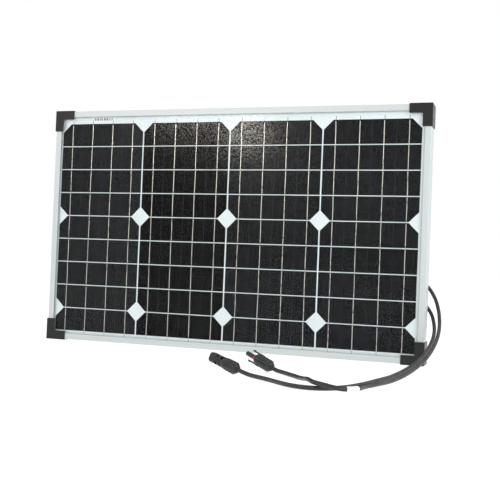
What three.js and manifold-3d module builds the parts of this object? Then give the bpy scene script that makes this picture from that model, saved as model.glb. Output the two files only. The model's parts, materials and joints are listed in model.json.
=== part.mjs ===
// A framed 36-cell solar module, standing upright on its long edge, with its junction box and its two leads.
// Millimetres, +Z up. The glass faces -Y, and +X is to the right for someone who faces the glass.
// The origin is on the surface that the module stands on, below the middle of its width and of its thickness.
import * as THREE from 'three';
import { mergeVertices } from 'three/addons/utils/BufferGeometryUtils.js';
import Module from 'manifold-3d';

const wasm = await Module();
wasm.setup();

// ---- driving dimensions ----
const frameWidth = 658;
const frameHeight = 401;
const frameDepth = 30;
const lipWidth = 10;             // front lip over the glass
const flangeWidth = 20;          // mounting flange behind
const wall = 1.5;                // wall of the aluminium extrusion
const mitreGap = 0.15;           // half of the hairline at each mitre
const grooveDepth = 5;           // groove that holds the laminate, along Y
const capWall = 1.3;             // wall of a plastic corner cap
const capLeg = 35;
const capLegWidth = 14;

const laminateInset = 4;         // from the frame's outer face to the laminate's edge
const glassThickness = 3.2;
const cellWidth = 156;           // a wafer's side
const cellsPerWafer = 4;         // strips that a wafer is cut into
const cellHeight = cellWidth / cellsPerWafer;
const cellChamfer = 15.4;        // leg of the wafer's cut corner
const columnGap = 2.5;
const rowGap = 1.6;
const columns = 4;
const rows = 9;
const ribbonsPerCell = 4;
const ribbonWidth = 1.5;
const gridOffsetX = -1.8;        // the string lay-up sits slightly left of the middle
const gridOffsetZ = -3.1;        // and low, which leaves room for the bus ribbons above

const boxHalfWidth = 50;         // junction box
const boxBottom = 284;
const boxTop = 372;
const boxWall = 2;
const boxRadius = 5;
const terminalPitch = 28;
const glandY = 2;
const glandNutBottom = 262;

const leadRadius = 2.8;
const leadSides = 8;
const leadSteps = 108;
const leadGap = 0.3;             // from a lead's end to the connector that it enters
const connectorLength = 50;
const connectorTurn = 27;        // degrees, from -X towards +Y
const socketTilt = 13;           // degrees; the springy leads hold the mating ends up a little
const plugTilt = 17;
const socketRoll = 57;           // degrees; two of the four rows of windows face forward
const plugRoll = -68;            // degrees; one latch arm is above the nose and one below it
const nutLength = 20;

// ---- what follows from them ----
const frameBottom = capWall;
const frameTop = frameBottom + frameHeight;
const halfWidth = frameWidth / 2;
const frontY = -frameDepth / 2;
const rearY = frameDepth / 2;
const middleZ = frameBottom + frameHeight / 2;
const gridZ = middleZ + gridOffsetZ;
const columnPitch = cellWidth + columnGap;
const rowPitch = cellHeight + rowGap;

// Layers of the laminate, front to back.
const grooveFront = frontY + wall;
const grooveBack = grooveFront + grooveDepth;
const glassFront = grooveFront + 0.3;
const glassBack = glassFront + glassThickness;
const frontSheetBack = glassBack + 0.2;
const labelBack = frontSheetBack + 0.1;
const coverBack = labelBack + 0.1;
const ribbonBack = coverBack + 0.15;
const cellFront = coverBack + 0.1;
const cellBack = cellFront + 0.15;
const busBack = ribbonBack + 0.1;
const strapFront = cellBack + 0.02;
const strapBack = cellBack + 0.1;
const rearSheetBack = strapBack + 0.15;
const backsheetBack = rearSheetBack + 0.3;

const baseFront = backsheetBack + 1;   // junction box, on its bed of adhesive
const floorBack = baseFront + 1.6;
const rimY = 9.5;
const lidFront = rimY + 0.5;
const lidBack = lidFront + 2.5;
const terminalFront = -3.5;
const terminalBack = terminalFront + 1.2;
const strapZ = 360;
const hingeY = 8.5;
const hingeZ = 375;

// ---- solids ----
function toSolid(geometry) {
  const bare = geometry.clone();
  bare.deleteAttribute('normal');
  bare.deleteAttribute('uv');
  const merged = mergeVertices(bare, 1e-4);
  return new wasm.Manifold(new wasm.Mesh({
    numProp: 3,
    vertProperties: new Float32Array(merged.attributes.position.array),
    triVerts: new Uint32Array(merged.index.array),
  }));
}

function toGeometry(solid) {
  const mesh = solid.getMesh();
  const geometry = new THREE.BufferGeometry();
  geometry.setAttribute('position', new THREE.BufferAttribute(mesh.vertProperties, 3));
  geometry.setIndex(new THREE.BufferAttribute(mesh.triVerts, 1));
  return geometry;
}

function join(...geometries) {
  return toGeometry(geometries.map(toSolid).reduce((a, b) => a.add(b)));
}

function cut(geometry, ...tools) {
  return toGeometry(tools.map(toSolid).reduce((a, b) => a.subtract(b), toSolid(geometry)));
}

function block(x0, x1, y0, y1, z0, z1) {
  const box = new THREE.BoxGeometry(x1 - x0, y1 - y0, z1 - z0);
  return box.translate((x0 + x1) / 2, (y0 + y1) / 2, (z0 + z1) / 2);
}

// An outline in X and Z, as thick as y0 to y1.
function slab(shape, y0, y1, curveSegments = 3) {
  const geometry = new THREE.ExtrudeGeometry(shape, { depth: y1 - y0, bevelEnabled: false, curveSegments });
  return geometry.rotateX(Math.PI / 2).translate(0, y1, 0);
}

function polygon(points) {
  return new THREE.Shape(points.map(([x, y]) => new THREE.Vector2(x, y)));
}

function roundedRectangle(x0, x1, z0, z1, radius) {
  const shape = new THREE.Shape();
  shape.moveTo(x0 + radius, z0);
  shape.lineTo(x1 - radius, z0);
  shape.absarc(x1 - radius, z0 + radius, radius, -Math.PI / 2, 0);
  shape.lineTo(x1, z1 - radius);
  shape.absarc(x1 - radius, z1 - radius, radius, 0, Math.PI / 2);
  shape.lineTo(x0 + radius, z1);
  shape.absarc(x0 + radius, z1 - radius, radius, Math.PI / 2, Math.PI);
  shape.lineTo(x0, z0 + radius);
  shape.absarc(x0 + radius, z0 + radius, radius, Math.PI, 1.5 * Math.PI);
  return shape;
}

function ring(outer, inner, y0, y1) {
  outer.holes.push(inner);
  return slab(outer, y0, y1);
}

// A solid turned about an axis: profile is [radius, distance along the axis] pairs.
function turned(profile, segments = 16) {
  const points = profile.map(([r, s]) => new THREE.Vector2(r, s));
  return new THREE.LatheGeometry(points, segments);
}

const alongX = (geometry) => geometry.rotateZ(-Math.PI / 2);
const alongZ = (geometry) => geometry.rotateX(Math.PI / 2);

function cylinderX(radius, x0, x1, y, z, segments = 12) {
  const cylinder = new THREE.CylinderGeometry(radius, radius, x1 - x0, segments);
  return cylinder.rotateZ(Math.PI / 2).translate((x0 + x1) / 2, y, z);
}

function cylinderY(radius, y0, y1, x, z, segments = 12) {
  return new THREE.CylinderGeometry(radius, radius, y1 - y0, segments).translate(x, (y0 + y1) / 2, z);
}

function cylinderZ(radius, z0, z1, x, y, segments = 12) {
  const cylinder = new THREE.CylinderGeometry(radius, radius, z1 - z0, segments);
  return cylinder.rotateX(Math.PI / 2).translate(x, y, (z0 + z1) / 2);
}

function slotY(halfLength, radius, y0, y1, x, z) {
  const middle = block(x - halfLength, x + halfLength, y0, y1, z - radius, z + radius);
  const ends = [-1, 1].map((side) => cylinderY(radius, y0, y1, x + side * halfLength, z));
  return join(middle, ...ends);
}

// ---- materials ----
const finishes = {
  aluminium: { color: 0xd5d9da, roughness: 0.38, metalness: 0.85 },
  alloy: { color: 0xa9adae, roughness: 0.55, metalness: 0.7 },
  cap: { color: 0x35373a, roughness: 0.55, metalness: 0 },
  glass: { color: 0xeef4f6, roughness: 0.12, metalness: 0, transparent: true, opacity: 0.12 },
  sheet: { color: 0xf3f5f8, roughness: 0.3, metalness: 0, transparent: true, opacity: 0.25 },
  backsheet: { color: 0xf1f3f7, roughness: 0.6, metalness: 0 },
  cell: { color: 0x14161c, roughness: 0.35, metalness: 0.1 },
  ribbon: { color: 0xb9b5ab, roughness: 0.35, metalness: 0.8 },
  label: { color: 0xe6e8ec, roughness: 0.5, metalness: 0 },
  box: { color: 0x202225, roughness: 0.5, metalness: 0 },
  rubber: { color: 0x17181a, roughness: 0.85, metalness: 0 },
  silicone: { color: 0xdfe2e4, roughness: 0.7, metalness: 0 },
  copper: { color: 0xb87a50, roughness: 0.35, metalness: 0.9 },
  tin: { color: 0xc7c9c8, roughness: 0.3, metalness: 0.9 },
  lead: { color: 0x26282a, roughness: 0.5, metalness: 0 },
  inner: { color: 0x3a3c3e, roughness: 0.6, metalness: 0 },
  marker: { color: 0xf2f2f0, roughness: 0.6, metalness: 0 },
  seal: { color: 0xc8253c, roughness: 0.45, metalness: 0 },
};

const module36 = new THREE.Group();

function add(name, geometry, finish, parent = module36) {
  const mesh = new THREE.Mesh(geometry, new THREE.MeshStandardMaterial(finishes[finish]));
  mesh.name = name;
  parent.add(mesh);
  return mesh;
}

// ---- frame rails ----
// Cross-section: first the distance in from the rail's outer face, then Y.
function railSection() {
  const chamberWidth = 9.5;
  const chamberFront = grooveBack;
  const chamberBack = 3.5;
  const bevel = 0.6;
  const outline = polygon([
    [bevel, frontY], [lipWidth - 0.4, frontY], [lipWidth, frontY + 0.4], [lipWidth, grooveFront],
    [wall, grooveFront], [wall, grooveBack], [chamberWidth, chamberFront], [chamberWidth, chamberBack],
    [wall, chamberBack], [wall, rearY - wall], [flangeWidth, rearY - wall], [flangeWidth, rearY],
    [bevel, rearY], [0, rearY - bevel], [0, frontY + bevel],
  ]);
  outline.holes.push(polygon([
    [wall, chamberFront + wall], [wall, chamberBack - wall],
    [chamberWidth - wall, chamberBack - wall], [chamberWidth - wall, chamberFront + wall],
  ]));
  return outline;
}

// A rail along X, its outer face at Z = 0, mitred at both ends.
function mitredRail(length) {
  const geometry = new THREE.ExtrudeGeometry(railSection(), { depth: 1, bevelEnabled: false });
  const place = geometry.attributes.position;
  for (let i = 0; i < place.count; i += 1) {
    const inward = place.getX(i);
    const end = place.getZ(i) > 0.5 ? -1 : 1;
    place.setXYZ(i, end * (length / 2 - inward - mitreGap), place.getY(i), inward);
  }
  return geometry;
}

function rail(length, slotX, holeX) {
  const flangeMiddle = 13;
  const tools = [];
  for (const side of [-1, 1]) {
    tools.push(slotY(2.5, 3.5, rearY - 3, rearY + 1, side * slotX, flangeMiddle));
    tools.push(cylinderY(2, rearY - 3, rearY + 1, side * holeX, flangeMiddle));
    tools.push(cylinderZ(2.5, -1, wall + 1, side * (length / 2 - 60), 8.5));
  }
  return cut(mitredRail(length), ...tools);
}

const longRail = rail(frameWidth, 215, 120);
const shortRail = rail(frameHeight, 105, 60);
add('frame_rail_bottom', longRail, 'aluminium').position.set(0, 0, frameBottom);
const topRail = add('frame_rail_top', longRail.clone(), 'aluminium');
topRail.position.set(0, 0, frameTop);
topRail.rotation.y = Math.PI;
const leftRail = add('frame_rail_left', shortRail, 'aluminium');
leftRail.position.set(-halfWidth, 0, middleZ);
leftRail.rotation.y = Math.PI / 2;
const rightRail = add('frame_rail_right', shortRail.clone(), 'aluminium');
rightRail.position.set(halfWidth, 0, middleZ);
rightRail.rotation.y = -Math.PI / 2;

// ---- corner keys and corner caps ----
// Both are made for the lower left corner, with +X and +Z inward, and turned for the others.
function cornerKey() {
  const near = wall + 0.3;
  const far = 7.7;
  const leg = 34;
  const barb = 0.8;
  const outline = [[near, near], [leg, near], [leg, far]];
  for (let i = 0; i < 3; i += 1) {
    const along = leg - 5 - 6 * i;
    outline.push([along, far], [along, far - barb], [along - 2, far]);
  }
  outline.push([far, far]);
  for (let i = 2; i >= 0; i -= 1) {
    const along = leg - 5 - 6 * i;
    outline.push([far, along - 2], [far - barb, along], [far, along]);
  }
  outline.push([far, leg], [near, leg]);
  return slab(polygon(outline), grooveBack + wall + 0.3, 1.7);
}

function legOutline(width) {
  const round = 1.2;
  const shape = new THREE.Shape();
  shape.moveTo(-capWall + round, -capWall);
  shape.lineTo(capLeg - round, -capWall);
  shape.absarc(capLeg - round, -capWall + round, round, -Math.PI / 2, 0);
  shape.lineTo(capLeg, width - round);
  shape.absarc(capLeg - round, width - round, round, 0, Math.PI / 2);
  shape.lineTo(width, width);
  shape.lineTo(width, capLeg - round);
  shape.absarc(width - round, capLeg - round, round, 0, Math.PI / 2);
  shape.lineTo(-capWall + round, capLeg);
  shape.absarc(-capWall + round, capLeg - round, round, Math.PI / 2, Math.PI);
  shape.lineTo(-capWall, -capWall + round);
  shape.absarc(-capWall + round, -capWall + round, round, Math.PI, 1.5 * Math.PI);
  return shape;
}

function cornerCap() {
  const outer = slab(legOutline(capLegWidth), frontY - capWall, rearY + capWall);
  const inside = block(0, capLeg + 1, frontY, rearY, 0, capLeg + 1);
  return cut(outer, inside);
}

const cornerPlaces = [
  ['bottom_left', -halfWidth, frameBottom, 0],
  ['bottom_right', halfWidth, frameBottom, -Math.PI / 2],
  ['top_right', halfWidth, frameTop, Math.PI],
  ['top_left', -halfWidth, frameTop, Math.PI / 2],
];
for (const [where, x, z, turn] of cornerPlaces) {
  for (const [piece, make, finish] of [['corner_key', cornerKey, 'alloy'], ['corner_cap', cornerCap, 'cap']]) {
    const mesh = add(`${piece}_${where}`, make(), finish);
    mesh.position.set(x, 0, z);
    mesh.rotation.y = turn;
  }
}

// ---- laminate ----
function frameBlock(inset, y0, y1) {
  return block(-halfWidth + inset, halfWidth - inset, y0, y1, frameBottom + inset, frameTop - inset);
}

add('edge_seal', cut(
  frameBlock(wall, grooveFront, grooveBack),
  frameBlock(lipWidth - 1, grooveFront - 1, grooveBack + 1),
  frameBlock(laminateInset, glassFront, backsheetBack),
), 'silicone');
add('front_glass', frameBlock(laminateInset, glassFront, glassBack), 'glass');
add('encapsulant_front', frameBlock(laminateInset, glassBack, frontSheetBack), 'sheet');

const strapPlaces = [-terminalPitch, 0, terminalPitch];
const strapSlots = strapPlaces.map((x) => block(x - 3, x + 3, cellBack, baseFront, strapZ - 0.8, strapZ + 0.8));
add('encapsulant_rear', cut(frameBlock(laminateInset, strapBack, rearSheetBack), ...strapSlots), 'sheet');
add('backsheet', cut(frameBlock(laminateInset, rearSheetBack, backsheetBack), ...strapSlots), 'backsheet');

// ---- cell strings ----
const columnX = (column) => gridOffsetX + (column - (columns - 1) / 2) * columnPitch;
const rowZ = (row) => gridZ + ((rows - 1) / 2 - row) * rowPitch;
const ribbonX = (column, ribbon) => columnX(column) + ((ribbon + 0.5) / ribbonsPerCell - 0.5) * cellWidth;

// Four strips come from one wafer, so only the first and the last of the four have cut corners.
function cellStrip(column, row) {
  const x = columnX(column);
  const z = rowZ(row);
  const w = cellWidth / 2;
  const h = cellHeight / 2;
  const top = row % cellsPerWafer === 0 ? cellChamfer : 0;
  const bottom = row % cellsPerWafer === cellsPerWafer - 1 ? cellChamfer : 0;
  const outline = [[x - w + bottom, z - h], [x + w - bottom, z - h], [x + w, z - h + bottom]];
  outline.push([x + w, z + h - top], [x + w - top, z + h], [x - w + top, z + h]);
  outline.push([x - w, z + h - top], [x - w, z - h + bottom]);
  const corners = outline.filter((p, i) => {
    const last = outline[(i + outline.length - 1) % outline.length];
    return Math.hypot(p[0] - last[0], p[1] - last[1]) > 1e-6;
  });
  return slab(polygon(corners), cellFront, cellBack);
}

const bottomBus = [6.5, 10.5];
const middleBus = [387, 391];
const outerBus = [392.5, 396.5];
for (let column = 0; column < columns; column += 1) {
  const outermost = column === 0 || column === columns - 1;
  const ribbonTop = (outermost ? outerBus : middleBus)[1];
  const pieces = [];
  for (let row = 0; row < rows; row += 1) pieces.push(cellStrip(column, row));
  for (let ribbon = 0; ribbon < ribbonsPerCell; ribbon += 1) {
    const x = ribbonX(column, ribbon);
    pieces.push(block(x - ribbonWidth / 2, x + ribbonWidth / 2, coverBack, ribbonBack, bottomBus[0], ribbonTop));
  }
  add(`cell_string_${column + 1}`, join(...pieces), 'cell');
}

// ---- bus ribbons, cover strip and labels ----
function busRibbon(x0, x1, [z0, z1]) {
  return block(x0, x1, ribbonBack, busBack, z0, z1);
}

const firstRibbon = (column) => ribbonX(column, 0) - 2;
const lastRibbon = (column) => ribbonX(column, ribbonsPerCell - 1) + 2;
add('bus_ribbon_top_left', busRibbon(firstRibbon(0), -terminalPitch + 2, outerBus), 'tin');
add('bus_ribbon_top_middle', busRibbon(firstRibbon(1), lastRibbon(2), middleBus), 'tin');
add('bus_ribbon_top_right', busRibbon(terminalPitch - 2, lastRibbon(3), outerBus), 'tin');
add('bus_ribbon_bottom_left', busRibbon(firstRibbon(0), lastRibbon(1), bottomBus), 'tin');
add('bus_ribbon_bottom_right', busRibbon(firstRibbon(2), lastRibbon(3), bottomBus), 'tin');
// The cover strip has a tab over each strap that leads out of the laminate.
const strapTabs = strapPlaces.map((x) => block(x - 4, x + 4, labelBack, coverBack, 380.9, 387));
add('bus_cover_strip', join(block(-320, 320, labelBack, coverBack, 386.6, 397.2), ...strapTabs), 'backsheet');
add('serial_label', block(-257, -216.5, frontSheetBack, labelBack, 386, 392), 'label');
add('rear_label', block(90, 190, backsheetBack, backsheetBack + 0.15, 232, 302), 'label');

// ---- straps that lead the current back through the backsheet ----
const strapNames = ['positive', 'middle', 'negative'];
strapPlaces.forEach((x, i) => {
  const top = (i === 1 ? middleBus : outerBus)[1];
  const down = block(x - 2, x + 2, strapFront, strapBack, strapZ - 0.15, top);
  const back = block(x - 2, x + 2, strapFront, terminalBack, strapZ - 0.15, strapZ + 0.15);
  add(`lead_out_strap_${strapNames[i]}`, join(down, back), 'tin');
});

// ---- junction box ----
const glandPlaces = [-terminalPitch, terminalPitch];

function boxOutline(inset) {
  const radius = boxRadius - inset;
  return roundedRectangle(
    -boxHalfWidth + inset, boxHalfWidth - inset, boxBottom + inset, boxTop - inset, radius,
  );
}

function hingeLug(side) {
  const x0 = side * 30 - 3;
  const eye = cylinderX(3, x0, x0 + 6, hingeY, hingeZ);
  const foot = block(x0, x0 + 6, hingeY - 3, rimY, boxTop - 1, hingeZ);
  return cut(join(eye, foot), cylinderX(1.8, x0 - 1, x0 + 7, hingeY, hingeZ));
}

function boxBase() {
  let body = cut(slab(boxOutline(0), baseFront, rimY), slab(boxOutline(boxWall), floorBack, rimY + 1));
  for (const x of strapPlaces) {
    body = join(body, block(x - 5, x + 5, floorBack - 0.5, terminalFront, 322, 352));
  }
  for (const x of glandPlaces) {
    body = join(body, cylinderZ(5.8, 268, boxBottom + 1, x, glandY, 16));
    body = cut(body, cylinderZ(3.2, 260, boxBottom + boxWall + 1, x, glandY),
      cylinderZ(4.8, 260, 275.5, x, glandY));
  }
  body = join(body, hingeLug(-1), hingeLug(1));
  return cut(body, block(-34, 34, baseFront - 1, floorBack + 1, 357, 363));
}

function boxLid() {
  const side = boxHalfWidth + 1.5;
  const bottom = boxBottom - 2.5;
  const top = boxTop - 0.5;
  const plate = slab(roundedRectangle(-side, side, bottom, top, boxRadius), lidFront, lidBack);
  const skirtOutside = slab(roundedRectangle(-side, side, bottom, top + 9, boxRadius), 8.2, lidFront + 0.5);
  const skirtInside = slab(
    roundedRectangle(-side + 1, side - 1, bottom + 2, top + 12, boxRadius), 7, lidFront,
  );
  const skirt = cut(skirtOutside, skirtInside, block(-60, 60, 7, 12, top, top + 20));
  const web = block(-26, 26, lidFront, lidBack, top - 1, hingeZ + 0.5);
  const barrel = cylinderX(2.2, -26, 26, hingeY, hingeZ);
  const pin = cylinderX(1.5, -33, 33, hingeY, hingeZ);
  const grip = block(-9, 9, lidFront, lidBack, bottom - 2, bottom + 1);
  return join(plate, skirt, web, barrel, pin, grip);
}

add('junction_box_adhesive', ring(
  roundedRectangle(-48, 48, 286, 370, 4), roundedRectangle(-40, 40, 294, 363.6, 3), backsheetBack, baseFront,
), 'silicone');
add('junction_box_base', boxBase(), 'box');
add('junction_box_gasket', ring(boxOutline(0.3), boxOutline(boxWall - 0.3), rimY, lidFront), 'rubber');
add('junction_box_lid', boxLid(), 'box');

// A terminal plate with an ear for each diode lead, and a barrel for the lead's conductor.
function terminal(x, ears, barrel) {
  let body = block(x - 7, x + 7, terminalFront, terminalBack, 318, strapZ - 0.2);
  for (const side of ears) {
    const earX = x + side * 5.5;
    const ear = block(earX - 0.5, earX + 0.5, terminalBack - 0.5, 3, 336, 344);
    body = join(body, cut(ear, block(earX - 1, earX + 1, 0.3, 4, 339.1, 340.9)));
  }
  if (barrel) {
    const tube = join(cylinderZ(2.9, 318, 330, x, glandY), block(x - 2, x + 2, terminalBack - 0.5, glandY, 318, 330));
    body = cut(join(body, tube), cylinderZ(1.6, 317, 331, x, glandY));
  }
  return body;
}

add('terminal_positive', terminal(-terminalPitch, [1], true), 'copper');
add('terminal_middle', terminal(0, [-1, 1], false), 'copper');
add('terminal_negative', terminal(terminalPitch, [-1], true), 'copper');

// Axial diodes that bridge neighbouring terminals.
for (const [where, side] of [['left', -1], ['right', 1]]) {
  const profile = [
    [0, -10], [0.6, -10], [0.6, -5], [2.7, -4.6], [2.7, 4.6], [0.6, 5], [0.6, 10], [0, 10],
  ];
  const diode = alongX(turned(profile, 12)).translate(side * terminalPitch / 2, 1.2, 340);
  add(`bypass_diode_${where}`, diode, 'rubber');
}

// Cable glands below the box: a rubber seal in the threaded neck, and a six-sided nut over it.
function glandNut(x) {
  const body = new THREE.CylinderGeometry(8, 8, 14, 6).rotateX(Math.PI / 2);
  body.translate(x, glandY, 273);
  const nose = alongZ(turned([[0, 0], [5.6, 0], [7.4, 4.6], [0, 4.6]], 12)).translate(x, glandY, glandNutBottom);
  return cut(join(body, nose), cylinderZ(3.2, 260, 268, x, glandY), cylinderZ(6.15, 267.5, 281, x, glandY, 16));
}

for (const [name, x] of [['positive', -terminalPitch], ['negative', terminalPitch]]) {
  add(`gland_nut_${name}`, glandNut(x), 'box');
  const sealProfile = [[3.1, 0], [4.5, 0], [4.5, 6.5], [3.1, 6.5], [3.1, 0]];
  add(`gland_seal_${name}`, alongZ(turned(sealProfile, 12)).translate(x, glandY, 268.6), 'rubber');
  const core = [[0, 0], [2, 0], [2, 22], [1.2, 22], [1.2, 36], [0, 36]];
  add(`lead_core_${name}`, alongZ(turned(core, 12)).translate(x, glandY, 290.3), 'inner');
}

// ---- connectors on the leads ----
// Each is made along +X from its nut's rear face, then laid with its nut on the ground.
function connectorGroup([x, y, z], roll, tilt) {
  const group = new THREE.Group();
  group.position.set(x, y, z);
  group.rotation.order = 'ZYX';
  group.rotation.z = THREE.MathUtils.degToRad(180 - connectorTurn);
  group.rotation.y = THREE.MathUtils.degToRad(-tilt);
  group.rotation.x = THREE.MathUtils.degToRad(roll);
  module36.add(group);
  return group;
}

// A grip nut: sixteen ribs, a tapered rear end and a bore for the threaded boss.
function gripNut() {
  const ribs = 12;
  const outline = [];
  for (let i = 0; i < 2 * ribs; i += 1) {
    const radius = i % 2 ? 8.5 : 7.9;
    const angle = Math.PI * (i + 0.5) / ribs;
    outline.push([radius * Math.cos(angle), radius * Math.sin(angle)]);
  }
  const barrel = new THREE.ExtrudeGeometry(polygon(outline), { depth: nutLength, bevelEnabled: false });
  barrel.rotateY(Math.PI / 2);
  const envelope = alongX(turned([[0, 0], [5.2, 0], [7.4, 3.6], [8.6, 5.4], [8.6, nutLength], [0, nutLength]], 24));
  const shape = toSolid(barrel).intersect(toSolid(envelope));
  const bore = alongX(turned([[0, -1], [3.1, -1], [3.1, 5], [6.3, 7], [6.3, 21], [0, 21]], 20));
  return toGeometry(shape.subtract(toSolid(bore)));
}

function socketHousing() {
  const profile = [
    [2.6, 8], [6, 8], [6, 20.3], [7.8, 20.3], [7.8, 27], [7.2, 27.8], [7.2, connectorLength],
    [4.8, connectorLength], [4.8, 32], [2.6, 32], [2.6, 8],
  ];
  const tools = [];
  for (const side of [-1, 1]) {
    for (const x of [25.8, 34.3]) {
      tools.push(block(x, x + 4.5, side * 6.4 - 1.8, side * 6.4 + 1.8, -2.2, 2.2));
      tools.push(block(x, x + 4.5, -2.2, 2.2, side * 6.4 - 1.8, side * 6.4 + 1.8));
    }
  }
  for (const turn of [45, 135, 225, 315]) {
    const flat = block(28, connectorLength + 1, 6.5, 9, -6, 6);
    tools.push(flat.rotateX(THREE.MathUtils.degToRad(turn)));
  }
  return cut(alongX(turned(profile, 20)), ...tools);
}

function plugHousing() {
  const noseRadius = 3.4;
  const profile = [
    [2.2, 8], [6, 8], [6, 20.3], [7.6, 20.3], [7.6, 28.4], [5.7, 31], [noseRadius, 31],
    [noseRadius, connectorLength - 0.8], [noseRadius - 0.8, connectorLength], [2.2, connectorLength], [2.2, 8],
  ];
  const flats = [];
  for (const side of [-1, 1]) {
    flats.push(block(20.2, 24, side * 8.3 - 2, side * 8.3 + 2, -9, 9));
    flats.push(block(24, 32, side * 8.3 - 3, side * 8.3 + 3, -9, 9));
  }
  return cut(alongX(turned(profile, 20)), ...flats);
}

// A latch arm: a springy tongue beside the nose, with a barb near its tip.
function latchArm(side) {
  const outline = [
    [21, 6.6], [24, 6.6], [25.5, 6.2], [39, 6.2], [42, 6.8], [42, 7.5], [39, 9.2], [38, 9.2], [37.6, 8.3], [24.5, 8.7],
    [21, 8.7],
  ].map(([x, y]) => [x, side * y]);
  if (side < 0) outline.reverse();
  const arm = new THREE.ExtrudeGeometry(polygon(outline), { depth: 3.6, bevelEnabled: false });
  return arm.translate(0, 0, -1.8);
}

const socketPlace = [127.6, -293.7, 7.7];
const socket = connectorGroup(socketPlace, socketRoll, socketTilt);
add('socket_nut', gripNut(), 'box', socket);
add('socket_housing', socketHousing(), 'box', socket);
const sleeveContact = [[1.3, 12], [2.2, 12], [2.2, 41], [1.3, 41], [1.3, 12]];
add('socket_contact', alongX(turned(sleeveContact, 12)), 'tin', socket);

const plugPlace = [158.2, -243, 7.6];
const plug = connectorGroup(plugPlace, plugRoll, plugTilt);
add('plug_nut', gripNut(), 'box', plug);
add('plug_housing', plugHousing(), 'box', plug);
add('plug_pin', alongX(turned([[0, 12], [1.5, 12], [1.5, 46], [0.9, 48], [0, 48]], 12)), 'tin', plug);
const ringProfile = [[3.7, 31.7], [4.2, 31.7], [4.6, 32.7], [4.2, 33.7], [3.7, 33.7], [3.7, 31.7]];
add('plug_seal_ring', alongX(turned(ringProfile, 16)), 'seal', plug);
add('plug_latch_arm_left', latchArm(-1), 'box', plug);
add('plug_latch_arm_right', latchArm(1), 'box', plug);

// ---- leads ----
// From inside the box out through the gland, behind the right rail, round its edge, and along the ground.
const positiveRoute = [
  [-28, 2, 290], [-28, 2, 276], [-28, 2, 262], [-27, 2, 244], [-22, 3, 222], [-10, 5, 197], [10, 7, 174],
  [38, 9, 155], [74, 12, 140], [116, 14, 129], [160, 16, 120], [204, 17, 113], [246, 18, 109], [280, 19, 106],
  [304, 20.5, 104], [321, 21, 95], [334, 16.5, 80], [341, 2, 64], [344, -20, 50], [343, -48, 37], [339, -85, 25],
  [333, -124, 16], [324, -162, 9], [313, -205, 4], [301, -260, 3], [291, -308, 3], [278, -344, 3],
  [262, -362.5, 3], [241, -370, 3], [219, -363, 3], [198, -346, 3], [179, -328, 3], [163, -315, 3],
  [149, -306, 3.6],
];
const negativeRoute = [
  [28, 2, 290], [28, 2, 276], [28, 2, 262], [29, 2, 245], [34, 3, 226], [46, 5, 207], [66, 8, 189],
  [95, 11, 174], [132, 14, 162], [174, 16, 153], [218, 17, 147], [258, 18, 142], [286, 19.5, 138],
  [308, 20.5, 132], [326, 20.5, 122], [339, 14, 105], [347, 0, 87], [352, -23, 68], [354, -54, 52],
  [352, -92, 36], [346, -136, 22], [338, -176, 13], [329, -214, 7], [319, -258, 4], [308.6, -300.2, 4],
  [302.5, -322, 4], [299.7, -338.2, 4.2], [295.8, -359, 4.4], [288, -369.6, 4.8], [276, -375.3, 6.2],
  [260.7, -374.3, 8.6], [247, -364.9, 9.4], [236.2, -345.5, 9.2], [229.8, -331.1, 8], [221.1, -311.7, 5.5],
  [209.5, -291.5, 3.6], [199, -275.5, 3], [189, -264, 3], [178, -254.3, 3.6],
];

// The last points run straight into the connector's nut.
function leadCurve(route, place, connector) {
  const forward = new THREE.Vector3(1, 0, 0).applyEuler(connector.rotation);
  const nut = new THREE.Vector3(...place);
  const points = route.map((p) => new THREE.Vector3(...p));
  for (const back of [9, leadGap]) points.push(nut.clone().addScaledVector(forward, -back));
  return new THREE.CatmullRomCurve3(points);
}

function circle(radius, sides) {
  const corners = [];
  for (let i = 0; i < sides; i += 1) {
    const angle = 2 * Math.PI * i / sides;
    corners.push([radius * Math.cos(angle), radius * Math.sin(angle)]);
  }
  return polygon(corners);
}

function along(section, path, steps) {
  return new THREE.ExtrudeGeometry(section, { steps, bevelEnabled: false, extrudePath: path });
}

add('lead_positive', along(circle(leadRadius, leadSides), leadCurve(positiveRoute, socketPlace, socket), leadSteps), 'lead');
const negativeCurve = leadCurve(negativeRoute, plugPlace, plug);
add('lead_negative', along(circle(leadRadius, leadSides), negativeCurve, leadSteps), 'lead');

// A white marker sleeve, shrunk on where the negative lead turns back on the ground.
const sleeveFrom = 811.5;
const sleeveLength = 19;
const leadLength = negativeCurve.getLength();
const sleevePoints = [0, 0.25, 0.5, 0.75, 1].map(
  (t) => negativeCurve.getPointAt((sleeveFrom + t * sleeveLength) / leadLength),
);
const sleeveSection = circle(3.9, 12);
sleeveSection.holes.push(circle(3.4, 12));
add('lead_marker_sleeve', along(sleeveSection, new THREE.CatmullRomCurve3(sleevePoints), 4), 'marker');

export default module36;
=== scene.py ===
"""A framed solar module on its long edge, with its corner caps, its junction box and its two leads.

Shapes are worked out in millimetres and turned into metres where a mesh or curve is made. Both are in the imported
model's frame: +Z up, and the glass faces -Y.
"""

import json
import math
import random

import bmesh
import bpy
from mathutils import Euler, Matrix, Vector


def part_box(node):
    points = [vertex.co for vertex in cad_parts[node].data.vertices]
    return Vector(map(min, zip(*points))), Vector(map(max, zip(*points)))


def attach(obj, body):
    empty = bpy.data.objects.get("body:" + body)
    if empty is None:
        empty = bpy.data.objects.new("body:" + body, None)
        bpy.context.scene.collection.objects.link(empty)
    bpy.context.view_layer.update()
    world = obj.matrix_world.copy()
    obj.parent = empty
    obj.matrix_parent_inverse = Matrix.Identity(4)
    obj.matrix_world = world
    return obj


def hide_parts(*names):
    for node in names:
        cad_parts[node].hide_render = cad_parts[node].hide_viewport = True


MM = 0.001

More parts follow.
